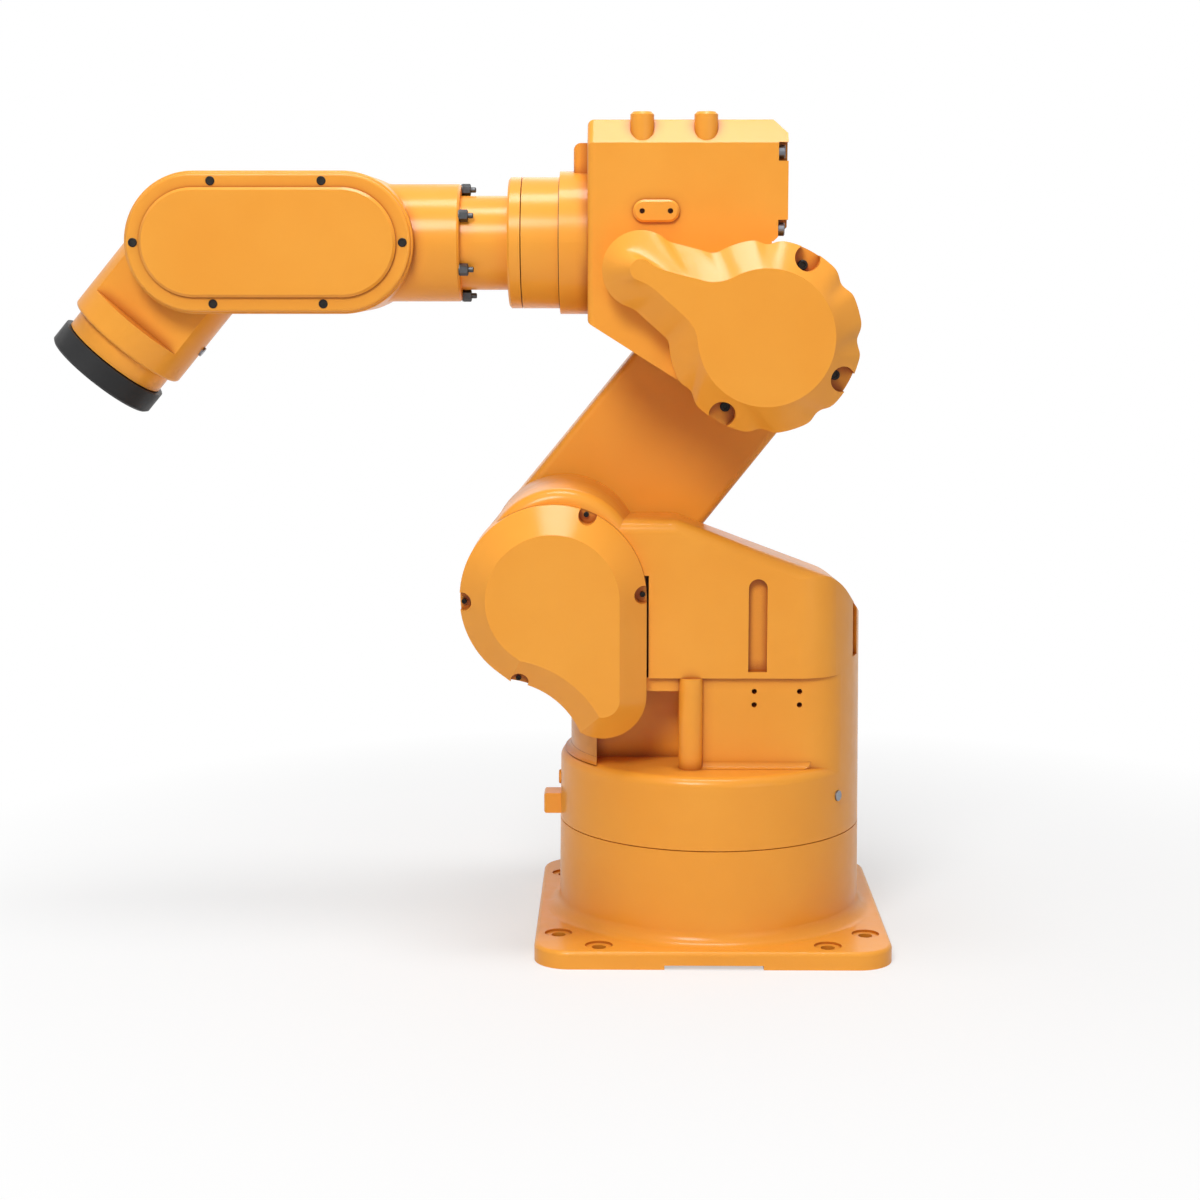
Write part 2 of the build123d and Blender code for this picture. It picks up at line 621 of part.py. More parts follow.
def elbow_cover_outlines():
    """Wavy brim and smooth front outline of the elbow cover, point for point."""
    wire = elbow_cover_plan().face().outer_wire()
    brim, front = [], []
    turn = 1 if wire.is_forward else -1
    for step in range(COVER_SAMPLES):
        place = wire.length * step / COVER_SAMPLES
        spot = wire.position_at(place, position_mode=PositionMode.LENGTH)
        along = wire.tangent_at(place, position_mode=PositionMode.LENGTH)
        in_x, in_z = -along.Y * turn, along.X * turn
        dent = dent_at(spot.X, spot.Y)
        brim.append((spot.X + in_x * dent, spot.Y + in_z * dent))
        front.append((spot.X + in_x * ELBOW_BEVEL, spot.Y + in_z * ELBOW_BEVEL))
    return make_face(Spline(*brim, periodic=True)), make_face(Spline(*front, periodic=True))


def make_elbow_cover():
    brim, front = elbow_cover_outlines()
    body = bevelled(brim, front, BOX_HALF_Y, ELBOW_BRIM_Y, ELBOW_FRONT_Y)
    away = ELBOW_COVER_R - ELBOW_NOTCH_INSET
    for angle in ELBOW_NOTCH_ANGLES:
        x = ELBOW_X + away * math.cos(math.radians(angle))
        z = ELBOW_Z + away * math.sin(math.radians(angle))
        body -= disc_y(x, z, ELBOW_NOTCH_R, ELBOW_BRIM_Y - ELBOW_NOTCH_DROP, ELBOW_FRONT_Y)
    return body


def make_rear_cover():
    rear_x = BOX_REAR_X - REAR_COVER_THICK
    body = block(rear_x, BOX_REAR_X, -BOX_HALF_Y, BOX_HALF_Y, BOX_STEP_Z, BOX_TOP_Z)
    body = chamfer(body.edges().filter_by(Axis.X).group_by(Axis.Z)[-1], BOX_TOP_CHAMFER)
    ends = body.edges().filter_by(Axis.Y).group_by(Axis.X)[0]
    body = chamfer(ends, REAR_COVER_CHAMFER)
    for z in (BOX_STEP_Z + REAR_POCKET_FOOT, BOX_TOP_Z - REAR_POCKET_HEAD):
        for side in (-1, 1):
            y = side * (BOX_HALF_Y - REAR_POCKET / 2)
            half = REAR_POCKET / 2
            body -= block(rear_x, rear_x + REAR_POCKET_DEPTH, y - half, y + half, z - half, z + half)
    return body


def make_fixed_ring():
    body = disc_x(RING_R, ROLL_BOSS_END_X, RING_SEAM_X)
    return body - disc_x(ROLL_SPIGOT_R + SPIGOT_GAP, ROLL_BOSS_END_X, RING_SEAM_X)


def make_turning_ring():
    low = RING_SEAM_X + RUNNING_GAP
    body = disc_x(RING_R, low, RING_END_X)
    body = chamfer(body.faces().sort_by(Axis.X)[-1].edges(), RING_EDGE)
    return body + disc_x(ROLL_SPIGOT_R, low - ROLL_SPIGOT_LENGTH, low)


def make_neck():
    return disc_x(NECK_R, RING_END_X, NECK_END_X)


def wrist_outline(radius):
    return Pos(WRIST_X - CHEEK_SPAN / 2, ROLL_Z) * SlotCenterToCenter(CHEEK_SPAN, 2 * radius)


def make_wrist_tail():
    """Round tail behind the rounded end, flaring in a hollow curve to meet it."""
    end_x = WRIST_X - CHEEK_SPAN
    end_r = CHEEK_R - WRIST_FLARE_SUNK
    centre_z = WRIST_REAR_R + WRIST_FLARE
    reach = end_r + WRIST_FLARE
    flare_x = end_x - math.sqrt(reach**2 - centre_z**2)
    share = end_r / reach
    top = (end_x + (flare_x - end_x) * share, centre_z * share)
    rear = Polyline(
        (end_x, top[1]),
        (end_x, 0),
        (NECK_END_X, 0),
        (NECK_END_X, WRIST_REAR_R - WRIST_REAR_EDGE),
        (NECK_END_X + WRIST_REAR_EDGE, WRIST_REAR_R),
        (flare_x, WRIST_REAR_R),
    )
    curve = TangentArc((flare_x, WRIST_REAR_R), top, tangent=(1, 0))
    profile = make_face([rear, curve, Line(top, (end_x, top[1]))])
    return Pos(0, 0, ROLL_Z) * revolve(Plane.XZ * profile, Axis.X)


def make_wrist_body():
    body = slab(wrist_outline(CHEEK_R), -CHEEK_OUTER_Y, CHEEK_OUTER_Y)
    rims = body.faces().sort_by(Axis.Y)
    body = fillet(rims[0].edges() + rims[-1].edges(), CHEEK_EDGE)
    body += make_wrist_tail()
    throat_x = WRIST_X - THROAT_DEPTH
    reach = WRIST_X + 2 * CHEEK_R
    low, high = ROLL_Z - 2 * CHEEK_R, ROLL_Z + 2 * CHEEK_R
    body -= block(throat_x, reach, -CHEEK_INNER_Y, CHEEK_INNER_Y, low, high)
    pin_reach = TILT_HALF_Y + TRUNNION_LENGTH + RUNNING_GAP
    return body - disc_y(WRIST_X, ROLL_Z, TRUNNION_R + SPIGOT_GAP, -pin_reach, pin_reach)


def make_wrist_cover(side):
    low = CHEEK_OUTER_Y
    plate = slab(wrist_outline(CHEEK_R - CHEEK_EDGE), low, low + WRIST_COVER_THICK)
    plate = fillet(plate.faces().sort_by(Axis.Y)[-1].edges(), WRIST_COVER_EDGE)
    raised = slab(wrist_outline(WRIST_RAISED_R), low, low + WRIST_COVER_THICK + WRIST_RAISED)
    raised = chamfer(raised.faces().sort_by(Axis.Y)[-1].edges(), WRIST_RAISED_EDGE)
    body = plate + raised
    if side < 0:
        body = mirror(body, about=Plane.XZ)
    return body


def tilted(shape):
    """Moves a shape drawn along +X from the tilt axis into its place at rest."""
    return Pos(WRIST_X, 0, ROLL_Z) * Rot(0, TILT_DOWN, 0) * shape


def tilt_disc(radius, low, high):
    return disc_x(radius, low, high, z=0)


def make_tilt_body():
    barrel = tilt_disc(TILT_R, 0, TILT_END)
    barrel = fillet(barrel.faces().sort_by(Axis.X)[-1].edges(), TILT_EDGE)
    wide = block(TILT_FULL_FROM, TILT_END, -TILT_R, TILT_R, -TILT_R, TILT_R)
    slim = block(0, TILT_FULL_FROM, -TILT_HALF_Y, TILT_HALF_Y, -TILT_R, TILT_R)
    body = (barrel & (wide + slim)) + disc_y(0, 0, TILT_R, -TILT_HALF_Y, TILT_HALF_Y)
    pin = TILT_HALF_Y + TRUNNION_LENGTH
    body += disc_y(0, 0, TRUNNION_R, -pin, pin)
    body -= tilt_plug_shape(SEAT_GAP)
    return tilted(body)


def tilt_plug_shape(gap):
    return post_z(TILT_PLUG_AT, 0, TILT_PLUG_R + gap, -TILT_R - TILT_PLUG_PROUD, TILT_PLUG_DEPTH - TILT_R)


def make_neck_ring():
    body = tilt_disc(NECK_RING_R, TILT_END, NECK_RING_END)
    low = NECK_RING_END - FLANGE_SPIGOT_LENGTH - RUNNING_GAP
    return tilted(body - tilt_disc(FLANGE_SPIGOT_R + SPIGOT_GAP, low, NECK_RING_END))


def make_flange():
    low = NECK_RING_END + RUNNING_GAP
    body = tilt_disc(FLANGE_R, low, FLANGE_END)
    body = chamfer(body.faces().sort_by(Axis.X)[-1].edges(), FLANGE_EDGE)
    body += tilt_disc(FLANGE_SPIGOT_R, NECK_RING_END - FLANGE_SPIGOT_LENGTH, low)
    body -= tilt_disc(FLANGE_BORE_R, FLANGE_END - FLANGE_BORE_DEPTH, FLANGE_END)
    for spot in PolarLocations(FLANGE_PCD / 2, FLANGE_HOLES):
        hole = Plane.YZ.offset(FLANGE_END - FLANGE_HOLE_DEPTH) * spot * Circle(FLANGE_HOLE_R)
        body -= extrude(hole, amount=FLANGE_HOLE_DEPTH)
    return tilted(body)


save(make_base(), "base_casting")
save(make_waist(), "waist_casting")
save(make_stop(), "waist_stop_block")
save(make_plug(), "waist_plug")
save(make_shoulder_cover(), "shoulder_cover")
save(make_ring(SHOULDER_X, SHOULDER_Z, SHOULDER_RING_R, SHOULDER_SPIGOT_R), "shoulder_reducer_ring")
save(make_arm(), "upper_arm")
save(make_cap(SHOULDER_X, SHOULDER_Z, SHOULDER_CAP_R), "arm_shoulder_cap")
save(make_cap(ELBOW_X, ELBOW_Z, ELBOW_CAP_R), "arm_elbow_cap")
save(make_elbow_housing(), "elbow_housing")
save(make_ring(ELBOW_X, ELBOW_Z, ELBOW_RING_R, ELBOW_SPIGOT_R), "elbow_reducer_ring")
save(make_elbow_cover(), "elbow_cover")
save(make_rear_cover(), "elbow_rear_cover")
save(make_fixed_ring(), "roll_fixed_ring")
save(make_turning_ring(), "roll_turning_ring")
save(make_neck(), "forearm_neck")
save(make_wrist_body(), "wrist_body")
save(make_wrist_cover(1), "wrist_cover_near")
save(make_wrist_cover(-1), "wrist_cover_far")
save(make_tilt_body(), "tilt_body")
save(tilted(tilt_plug_shape(0)), "tilt_plug")
save(make_neck_ring(), "tilt_neck_ring")
save(make_flange(), "tool_flange")
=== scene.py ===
import math

import bmesh
import bpy
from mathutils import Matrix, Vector


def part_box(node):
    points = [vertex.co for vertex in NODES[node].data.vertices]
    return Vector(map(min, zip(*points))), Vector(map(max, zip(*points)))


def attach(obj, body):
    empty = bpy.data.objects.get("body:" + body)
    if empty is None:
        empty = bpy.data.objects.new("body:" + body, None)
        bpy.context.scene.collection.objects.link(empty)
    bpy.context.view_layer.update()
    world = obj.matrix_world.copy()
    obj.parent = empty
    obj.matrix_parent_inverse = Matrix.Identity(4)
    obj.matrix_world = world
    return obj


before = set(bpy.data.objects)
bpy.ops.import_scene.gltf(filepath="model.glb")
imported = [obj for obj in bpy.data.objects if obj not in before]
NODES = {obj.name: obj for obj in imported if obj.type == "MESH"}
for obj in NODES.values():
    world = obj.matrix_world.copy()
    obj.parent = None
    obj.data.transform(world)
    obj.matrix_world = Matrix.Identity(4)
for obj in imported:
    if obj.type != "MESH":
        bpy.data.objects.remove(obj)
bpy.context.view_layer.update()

# Camera: place in metres, tilt and turn in degrees, lens for a square frame
CAMERA_PLACE = (0.0807, 2.1864, 0.65)
CAMERA_TILT = 8.546
CAMERA_TURN = 0.71
SENSOR_WIDTH = 36.0
FOCAL_LENGTH = 67.7

# Lamps: name, place and target in metres, size across both ways, power in watts
MIDDLE = (0.15, 0.0, 0.4)
BEVELS = (0.05, 0.12, 0.4)
LAMPS = (
    ("key", (0.8, 2.6, 2.5), MIDDLE, (1.2, 1.2), 68.0),
    ("top", (0.05, 0.2, 2.4), BEVELS, (1.2, 0.55), 25.0),
    ("fill", (-1.4, 2.3, 0.8), MIDDLE, (1.6, 1.6), 7.0),
    ("back", (-0.4, -2.2, 1.8), MIDDLE, (1.8, 1.8), 8.0),
)
WORLD_LIGHT = 0.13

# Floor: side, and how it fades to white between two distances from the origin, metres
FLOOR_SIDE = 60.0
FADE_DISTANCE = (0.2, 0.95)
FADE_SHARE = (0.5, 1.0)

# Colours, linear
ORANGE = (0.87, 0.358, 0.042, 1.0)
ORANGE_DEEP = (0.85, 0.333, 0.035, 1.0)
# Painted shade: the paint's colour deep in slots, holes and corners
ORANGE_SHADE = (0.45, 0.115, 0.009, 1.0)
BLACK_OXIDE = (0.008, 0.008, 0.0085, 1.0)
BLACK_WORN = (0.021, 0.021, 0.022, 1.0)
SCREW_DARK = (0.02, 0.019, 0.018, 1.0)
SCREW_WORN = (0.042, 0.04, 0.038, 1.0)
SCREW_ZINC = (0.13, 0.135, 0.145, 1.0)
STEEL = (0.33, 0.35, 0.38, 1.0)
STEEL_DARK = (0.2, 0.21, 0.24, 1.0)
WHITE = (1.0, 1.0, 1.0, 1.0)
FLOOR_WHITE = (0.86, 0.86, 0.86, 1.0)

# Sockets of a mix node that blends colours
MIX_FACTOR = 0
MIX_FIRST = 6
MIX_SECOND = 7
MIX_RESULT = 2

# Noise: ranges of its value that are spread, and its layers of detail
UNIT = (0.0, 1.0)
NARROW = (0.35, 0.65)
MIDDLING = (0.3, 0.7)
WIDE = (0.2, 0.8)
PLAIN_DETAIL = 3.0
FINE_DETAIL = 4.0
EVEN = (1.0, 1.0, 1.0)

# Paint: scales of its patterns, heights of its bumps in metres, gloss
CLOUD_SCALE = 9.0
SHEEN_SCALE = 60.0
SHEEN_SPREAD = (-0.05, 0.06)
PEEL_SCALE = 420.0
PEEL_DETAIL = 1.0
PEEL_STRENGTH = 0.1
PEEL_HEIGHT = 0.0004
GRAIN_HEIGHT = 0.0006
PAINT_SPECULAR = 0.08
COAT_WEIGHT = 0.38
COAT_ROUGHNESS = 0.2
COAT_IOR = 1.5

# Painted shade in recesses: reach in metres, rays, range of openness from fully shaded to unshaded
RECESS_REACH = 0.012
RECESS_RAYS = 8
RECESS_RANGE = (0.45, 0.95)

# Bare metal; the black finish has bumps of the same fine height, in metres
STREAK_SCALE = 160.0
STREAK_STRENGTH = 0.12
STREAK_SPREAD = (-0.08, 0.1)
FINE_HEIGHT = 0.0003
ALONG_Z = (1.0, 1.0, 8.0)

# Black finish
BLACK_CLOUD_SCALE = 30.0
BLACK_SHEEN_SCALE = 90.0
BLACK_ROUGHNESS = (0.4, 0.54)
BLACK_GRAIN_SCALE = 700.0
BLACK_GRAIN_DETAIL = 2.0
BLACK_GRAIN_STRENGTH = 0.14
BLACK_SPECULAR = 0.3

# Fasteners: kinds of ring, points on a ring, metres that a foot is sunk, shares of a radius or height
ROUND = 1
HEXAGON = 6
SEGMENTS = 24
SUNK = 0.0004
HEAD_EDGE = 0.12
SOCKET_LIP = 1.12
SOCKET_FLOOR = 0.35
NUT_EDGE = 0.14
NUT_WASHER = 1.1
NUT_CROWN = 0.92

# Dark line painted as the shade in the joint of the fixed roll ring, metres
SEAM_SEGMENTS = 160
SEAM_WIDTH = 0.0008
SEAM_PROUD = 0.0002

# Joint centres seen from the side, X and Z, metres; the forearm's axis runs through the wrist's
SHOULDER = (0.15, 0.34)
ELBOW = (-0.0451, 0.5809)
WRIST = (0.4849, 0.6669)
FOREARM_Z = WRIST[1]

# Screws of the shoulder and elbow covers: angles in degrees about the joint, circle and seat in metres
SHOULDER_SCREW_ANGLES = (111.7, -2.8, 178.2, -66.7)
SHOULDER_SCREW_CIRCLE = 0.0833
SHOULDER_SCREW_SEAT = 0.103
ELBOW_SCREW_ANGLES = (117.5, -151.7, -60.8)
ELBOW_SCREW_CIRCLE = 0.0737
ELBOW_SCREW_SEAT = 0.09

# Screws of the long wrist covers, metres: span between the centres of the round ends, brim under the
# screws, their distance out from the line between the centres, and along it from each centre
WRIST_COVER_SPAN = 0.138
WRIST_BRIM = 0.005
WRIST_SCREW_OUT = 0.0565
WRIST_SCREW_FROM_REAR = 0.018
WRIST_SCREW_FROM_FRONT = 0.017

# Nuts at the neck, screws of the rear cover and of the arm's caps, plug at the drum's front
NECK_NUTS = 6
NECK_NUT_CIRCLE = 0.05
NECK_NUT_START = 30
NECK_FLANGE_X = 0.2395
REAR_SCREW_IN = 0.009
REAR_SCREW_OUT = 0.0665
REAR_SCREW_HEIGHTS = (0.7495, 0.679)
CAP_SCREW_STEP = 60
SHOULDER_CAP_CIRCLE = 0.048
ELBOW_CAP_CIRCLE = 0.044
FRONT_PLUG_PLACE = (0.1462, 0.0, 0.1446)
FORWARD = (1.0, 0.0, 0.0)
BACKWARD = (-1.0, 0.0, 0.0)


def new_tree(owner):
    """Empty node tree of a material or world."""
    owner.use_nodes = True
    owner.node_tree.nodes.clear()
    return owner.node_tree


def new_material(name):
    """New material, its tree and its shader."""
    mat = bpy.data.materials.new(name)
    tree = new_tree(mat)
    out = tree.nodes.new("ShaderNodeOutputMaterial")
    shader = tree.nodes.new("ShaderNodeBsdfPrincipled")
    tree.links.new(shader.outputs["BSDF"], out.inputs["Surface"])
    return mat, tree, shader


def noise(tree, scale, detail=PLAIN_DETAIL, stretch=EVEN):
    """Noise fixed to the object, drawn out by the stretch."""
    coords = tree.nodes.new("ShaderNodeTexCoord")
    mapping = tree.nodes.new("ShaderNodeMapping")
    mapping.inputs["Scale"].default_value = stretch
    tex = tree.nodes.new("ShaderNodeTexNoise")
    tex.inputs["Scale"].default_value = scale
    tex.inputs["Detail"].default_value = detail
    tree.links.new(coords.outputs["Object"], mapping.inputs["Vector"])
    tree.links.new(mapping.outputs["Vector"], tex.inputs["Vector"])
    return tex.outputs["Fac"]


def spread(tree, value, source, target):
    """Value carried from one range to another, held at its ends."""
    node = tree.nodes.new("ShaderNodeMapRange")
    node.inputs["From Min"].default_value, node.inputs["From Max"].default_value = source
    node.inputs["To Min"].default_value, node.inputs["To Max"].default_value = target
    tree.links.new(value, node.inputs["Value"])
    return node.outputs["Result"]


def blend_colour(tree, factor, first, second):
    """First colour at factor 0, second at 1. A colour is a value or an output."""
    node = tree.nodes.new("ShaderNodeMix")
    node.data_type = "RGBA"
    for socket, colour in ((node.inputs[MIX_FIRST], first), (node.inputs[MIX_SECOND], second)):
        if isinstance(colour, tuple):
            socket.default_value = colour
        else:
            tree.links.new(colour, socket)
    tree.links.new(factor, node.inputs[MIX_FACTOR])
    return node.outputs[MIX_RESULT]


def bump(tree, height, strength, distance, under=None):
    """Bumps of that height in metres, on top of those under them."""
    node = tree.nodes.new("ShaderNodeBump")
    node.inputs["Strength"].default_value = strength
    node.inputs["Distance"].default_value = distance
    tree.links.new(height, node.inputs["Height"])
    if under:
        tree.links.new(under, node.inputs["Normal"])
    return node.outputs["Normal"]


def around(value, change):
    """Range about a value."""
    return value + change[0], value + change[1]


def openness(tree):
    """Mask for painted shade: 1 on open surfaces, falling towards 0 in the slots, holes and corners of the
    same piece.
    """
    node = tree.nodes.new("ShaderNodeAmbientOcclusion")
    node.only_local = True
    node.samples = RECESS_RAYS
    node.inputs["Distance"].default_value = RECESS_REACH
    return spread(tree, node.outputs["AO"], RECESS_RANGE, UNIT)


def paint(name, rough, grain_scale, grain_strength):
    """Sprayed orange paint: faint clouding, orange peel, casting or moulding grain, painted shade in
    recesses.
    """
    mat, tree, shader = new_material(name)
    cloud = spread(tree, noise(tree, CLOUD_SCALE), NARROW, UNIT)
    colour = blend_colour(tree, cloud, ORANGE, ORANGE_DEEP)
    # Painted shade: the colour darkens towards ORANGE_SHADE where ambient occlusion finds a recess
    colour = blend_colour(tree, openness(tree), ORANGE_SHADE, colour)
    tree.links.new(colour, shader.inputs["Base Color"])
    sheen = spread(tree, noise(tree, SHEEN_SCALE), MIDDLING, around(rough, SHEEN_SPREAD))
    tree.links.new(sheen, shader.inputs["Roughness"])
    peel = bump(tree, noise(tree, PEEL_SCALE, PEEL_DETAIL), PEEL_STRENGTH, PEEL_HEIGHT)
    grain = bump(tree, noise(tree, grain_scale, FINE_DETAIL), grain_strength, GRAIN_HEIGHT, peel)
    tree.links.new(grain, shader.inputs["Normal"])
    shader.inputs["Specular IOR Level"].default_value = PAINT_SPECULAR
    shader.inputs["Coat Weight"].default_value = COAT_WEIGHT
    shader.inputs["Coat Roughness"].default_value = COAT_ROUGHNESS
    shader.inputs["Coat IOR"].default_value = COAT_IOR
    return mat


def metal(name, colour, other, rough, stretch=EVEN):
    """Bare or plated metal with fine streaks in its colour, gloss and height."""
    mat, tree, shader = new_material(name)
    streak = noise(tree, STREAK_SCALE, FINE_DETAIL, stretch)
    tree.links.new(blend_colour(tree, streak, colour, other), shader.inputs["Base Color"])
    tree.links.new(spread(tree, streak, WIDE, around(rough, STREAK_SPREAD)), shader.inputs["Roughness"])
    tree.links.new(bump(tree, streak, STREAK_STRENGTH, FINE_HEIGHT), shader.inputs["Normal"])
    shader.inputs["Metallic"].default_value = 1.0
    return mat


def black_finish():
    """Blackened steel, faintly clouded, with a fine dull grain."""
    mat, tree, shader = new_material("black_oxide")
    cloud = noise(tree, BLACK_CLOUD_SCALE)
    tree.links.new(blend_colour(tree, cloud, BLACK_OXIDE, BLACK_WORN), shader.inputs["Base Color"])
    sheen = spread(tree, noise(tree, BLACK_SHEEN_SCALE), MIDDLING, BLACK_ROUGHNESS)
    tree.links.new(sheen, shader.inputs["Roughness"])
    grain = noise(tree, BLACK_GRAIN_SCALE, BLACK_GRAIN_DETAIL)
    tree.links.new(bump(tree, grain, BLACK_GRAIN_STRENGTH, FINE_HEIGHT), shader.inputs["Normal"])
    shader.inputs["Specular IOR Level"].default_value = BLACK_SPECULAR
    return mat


CAST_PAINT = paint("cast_paint", rough=0.42, grain_scale=190.0, grain_strength=0.16)
SMOOTH_PAINT = paint("smooth_paint", rough=0.36, grain_scale=260.0, grain_strength=0.07)
COVER_PAINT = paint("cover_paint", rough=0.38, grain_scale=330.0, grain_strength=0.1)
BLACK = black_finish()
GREY_STEEL = metal("grey_steel", STEEL, STEEL_DARK, rough=0.34, stretch=ALONG_Z)
SCREW_BLACK = metal("screw_black", SCREW_DARK, SCREW_WORN, rough=0.42)
NUT_GREY = metal("nut_grey", SCREW_WORN, SCREW_ZINC, rough=0.42)
SCREW_GREY = metal("screw_grey", SCREW_ZINC, STEEL_DARK, rough=0.4)

FINISH = {
    "base_casting": CAST_PAINT,
    "waist_casting": CAST_PAINT,
    "waist_stop_block": CAST_PAINT,
    "waist_plug": GREY_STEEL,
    "shoulder_cover": COVER_PAINT,
    "shoulder_reducer_ring": GREY_STEEL,
    "upper_arm": CAST_PAINT,
    "arm_shoulder_cap": SMOOTH_PAINT,
    "arm_elbow_cap": SMOOTH_PAINT,
    "elbow_housing": CAST_PAINT,
    "elbow_reducer_ring": GREY_STEEL,
    "elbow_cover": COVER_PAINT,
    "elbow_rear_cover": SMOOTH_PAINT,
    "roll_fixed_ring": SMOOTH_PAINT,
    "roll_turning_ring": SMOOTH_PAINT,
    "forearm_neck": SMOOTH_PAINT,
    "wrist_body": CAST_PAINT,
    "wrist_cover_near": COVER_PAINT,
    "wrist_cover_far": COVER_PAINT,
    "tilt_body": CAST_PAINT,
    "tilt_plug": GREY_STEEL,
    "tilt_neck_ring": SMOOTH_PAINT,
    "tool_flange": BLACK,
}


def paint_nodes():
    """Gives each piece of the arm its finish."""
    for node, finish in FINISH.items():
        mesh = NODES[node].data
        mesh.materials.clear()
        mesh.materials.append(finish)


def ring_points(radius, height, sides, segments=SEGMENTS):
    """One ring of a turned shape. A hexagon is drawn on as many points as a round ring."""
    points = []
    for step in range(segments):
        angle = 2 * math.pi * step / segments
        away = radius
        if sides == HEXAGON:
            away = radius / math.cos((angle + math.pi / 6) % (math.pi / 3) - math.pi / 6)
        points.append(Vector((away * math.cos(angle), away * math.sin(angle), height)))
    return points


def join_rings(mesh, low, high):
    """Faces between two rings with as many points."""
    count = len(low)
    for step in range(count):
        after = (step + 1) % count
        mesh.faces.new((low[step], low[after], high[after], high[step]))


def turned(mesh, place, direction, profile):
    """Adds one turned shape: rings of (radius, height, sides) from the foot up, closed at both ends."""
    turn = Vector(direction).to_track_quat("Z", "Y")
    rings = []
    for radius, height, sides in profile:
        points = ring_points(radius, height, sides)
        rings.append([mesh.verts.new(Vector(place) + turn @ p) for p in points])
    for low, high in zip(rings, rings[1:]):
        join_rings(mesh, low, high)
    mesh.faces.new(rings[-1])
    mesh.faces.new(list(reversed(rings[0])))


def hoop(mesh, place, inner, outer, width):
    """Adds a thin hoop about the X direction."""
    turn = Vector(FORWARD).to_track_quat("Z", "Y")
    rings = []
    for radius, height in ((outer, 0.0), (outer, width), (inner, width), (inner, 0.0)):
        points = ring_points(radius, height, ROUND, SEAM_SEGMENTS)
        rings.append([mesh.verts.new(Vector(place) + turn @ p) for p in points])
    for first, second in zip(rings, rings[1:] + rings[:1]):
        join_rings(mesh, first, second)


def cap_screw(radius, height, socket):
    """Profile of a round head with a hexagon socket, sunk a little into its seat."""
    edge = radius * HEAD_EDGE
    return (
        (radius, -SUNK, ROUND),
        (radius, height - edge, ROUND),
        (radius - edge, height, ROUND),
        (socket * SOCKET_LIP, height, ROUND),
        (socket, height - edge, HEXAGON),
        (socket, height * SOCKET_FLOOR, HEXAGON),
    )


def stud_nut(radius, height, stud, proud):
    """Profile of a hexagon nut on its washer, with the end of its stud."""
    edge = radius * NUT_EDGE
    return (
        (radius * NUT_WASHER, -SUNK, ROUND),
        (radius * NUT_WASHER, edge, ROUND),
        (radius, edge, HEXAGON),
        (radius, height - edge, HEXAGON),
        (radius * NUT_CROWN, height, ROUND),
        (stud, height, ROUND),
        (stud, height + proud - edge, ROUND),
        (stud - edge, height + proud, ROUND),
    )


def add_piece(name, body, finish, mesh):
    """Turns a mesh into a piece that moves with the body."""
    bmesh.ops.recalc_face_normals(mesh, faces=mesh.faces)
    data = bpy.data.meshes.new(name)
    mesh.to_mesh(data)
    mesh.free()
    data.materials.append(finish)
    piece = bpy.data.objects.new(name, data)
    bpy.context.scene.collection.objects.link(piece)
    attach(piece, body)


def add_fasteners(name, body, finish, profile, seats):
    """All fasteners of one kind on one body, as one piece. A seat is a place and a direction out of it."""
    mesh = bmesh.new()
    for place, direction in seats:
        turned(mesh, place, direction, profile)
    add_piece(name, body, finish, mesh)


def round_seats(centre, radius, angles, height):
    """Seats on a circle about a Y axis, on the face at that height, facing the side that it is on."""
    side = 1.0 if height > 0 else -1.0
    seats = []
    for angle in angles:
        x = centre[0] + radius * math.cos(math.radians(angle))
        z = centre[1] + radius * math.sin(math.radians(angle))
        seats.append(((x, height, z), (0.0, side, 0.0)))
    return seats


def add_cover_screws():
    """Screws in the notches of the shoulder and elbow covers."""
    seats = round_seats(SHOULDER, SHOULDER_SCREW_CIRCLE, SHOULDER_SCREW_ANGLES, SHOULDER_SCREW_SEAT)
    head = cap_screw(radius=0.0025, height=0.003, socket=0.0014)
    add_fasteners("shoulder_cover_screws", "waist", SCREW_BLACK, head, seats)
    seats = round_seats(ELBOW, ELBOW_SCREW_CIRCLE, ELBOW_SCREW_ANGLES, ELBOW_SCREW_SEAT)
    head = cap_screw(radius=0.0047, height=0.0045, socket=0.0025)
    add_fasteners("elbow_cover_screws", "elbow", SCREW_BLACK, head, seats)


def add_wrist_screws():
    """Six screws on each long wrist cover: one at each end and two along each long side."""
    front = WRIST[0]
    rear = front - WRIST_COVER_SPAN
    places = (
        (rear + WRIST_SCREW_FROM_REAR, WRIST_SCREW_OUT),
        (rear + WRIST_SCREW_FROM_REAR, -WRIST_SCREW_OUT),
        (front - WRIST_SCREW_FROM_FRONT, WRIST_SCREW_OUT),
        (front - WRIST_SCREW_FROM_FRONT, -WRIST_SCREW_OUT),
        (rear - WRIST_SCREW_OUT, 0.0),
        (front + WRIST_SCREW_OUT, 0.0),
    )
    seats = []
    for side in (1.0, -1.0):
        face = side * (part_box("wrist_body")[1][1] + WRIST_BRIM)
        for x, z in places:
            seats.append(((x, face, FOREARM_Z + z), (0.0, side, 0.0)))
    head = cap_screw(radius=0.0042, height=0.0012, socket=0.0026)
    add_fasteners("wrist_cover_screws", "forearm", SCREW_BLACK, head, seats)


def add_neck_nuts():
    """Ring of studs with nuts behind the wrist's flange."""
    seats = []
    for step in range(NECK_NUTS):
        angle = math.radians(NECK_NUT_START + 360 / NECK_NUTS * step)
        y = NECK_NUT_CIRCLE * math.cos(angle)
        z = NECK_NUT_CIRCLE * math.sin(angle)
        seats.append(((NECK_FLANGE_X, y, FOREARM_Z + z), BACKWARD))
    nut = stud_nut(radius=0.005, height=0.0085, stud=0.0026, proud=0.005)
    add_fasteners("neck_nuts", "forearm", NUT_GREY, nut, seats)


